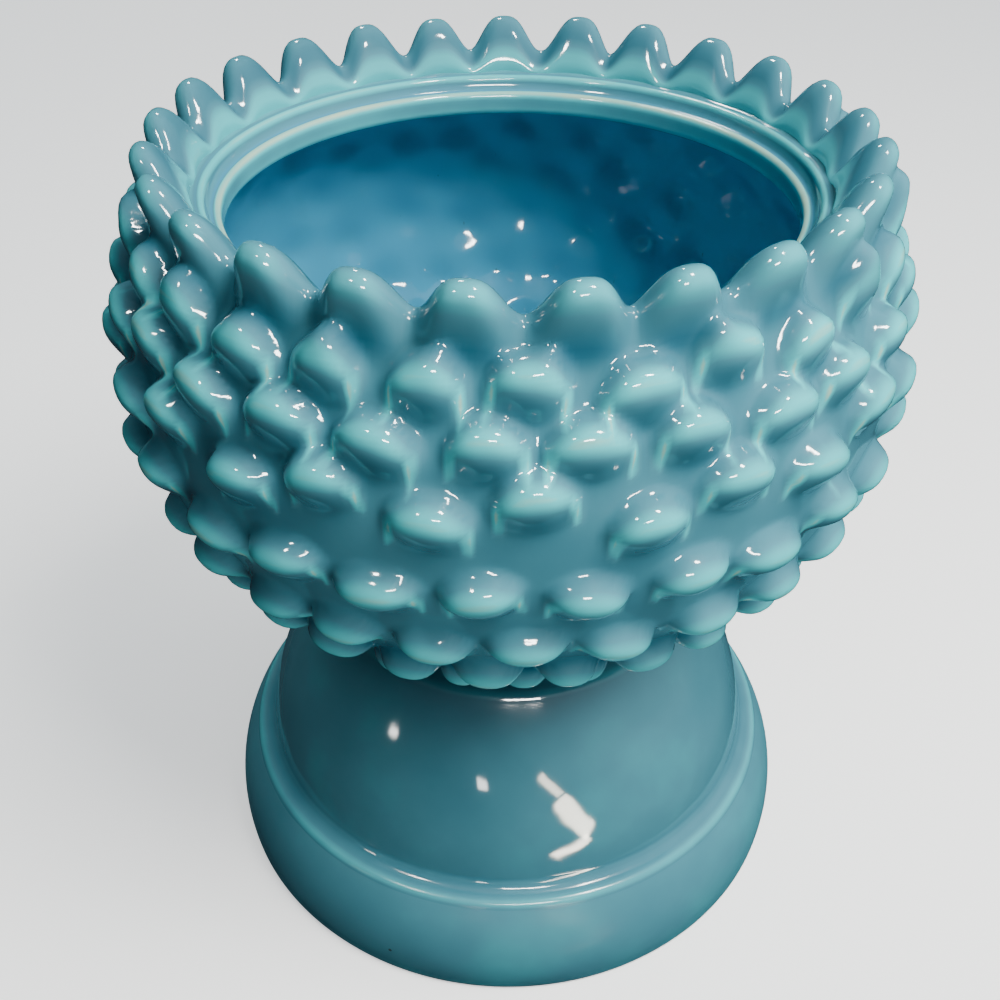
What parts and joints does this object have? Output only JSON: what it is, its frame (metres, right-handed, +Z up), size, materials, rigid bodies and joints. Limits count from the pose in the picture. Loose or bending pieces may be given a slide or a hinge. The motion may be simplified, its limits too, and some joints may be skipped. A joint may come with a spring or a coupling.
{
  "type": "footed cachepot",
  "caption": "Round footed cachepot covered in pine-cone scales, with a toothed crown, a stepped open mouth and a hollow bell foot; holds a potted plant.",
  "frame": {"origin": "centre of the foot's standing ring, on the floor", "axes": "+Z up along the pot's axis, -Y toward the viewer of the picture"},
  "size_m": [0.23, 0.2292, 0.25],
  "materials": {
    "foot_glaze": "gloss",
    "bowl_glaze": "gloss",
    "mouth_glaze": "gloss",
    "scale_glaze": "gloss"
  },
  "bodies": {
    "root": {"foot": "foot_glaze", "bowl_shell": "bowl_glaze", "mouth_ring": "mouth_glaze", "crown_scales": "scale_glaze", "scale_row_1": "scale_glaze", "scale_row_2": "scale_glaze", "scale_row_3": "scale_glaze", "scale_row_4": "scale_glaze", "scale_row_5": "scale_glaze", "scale_row_6": "scale_glaze", "scale_row_7": "scale_glaze"}
  },
  "joints": []
}
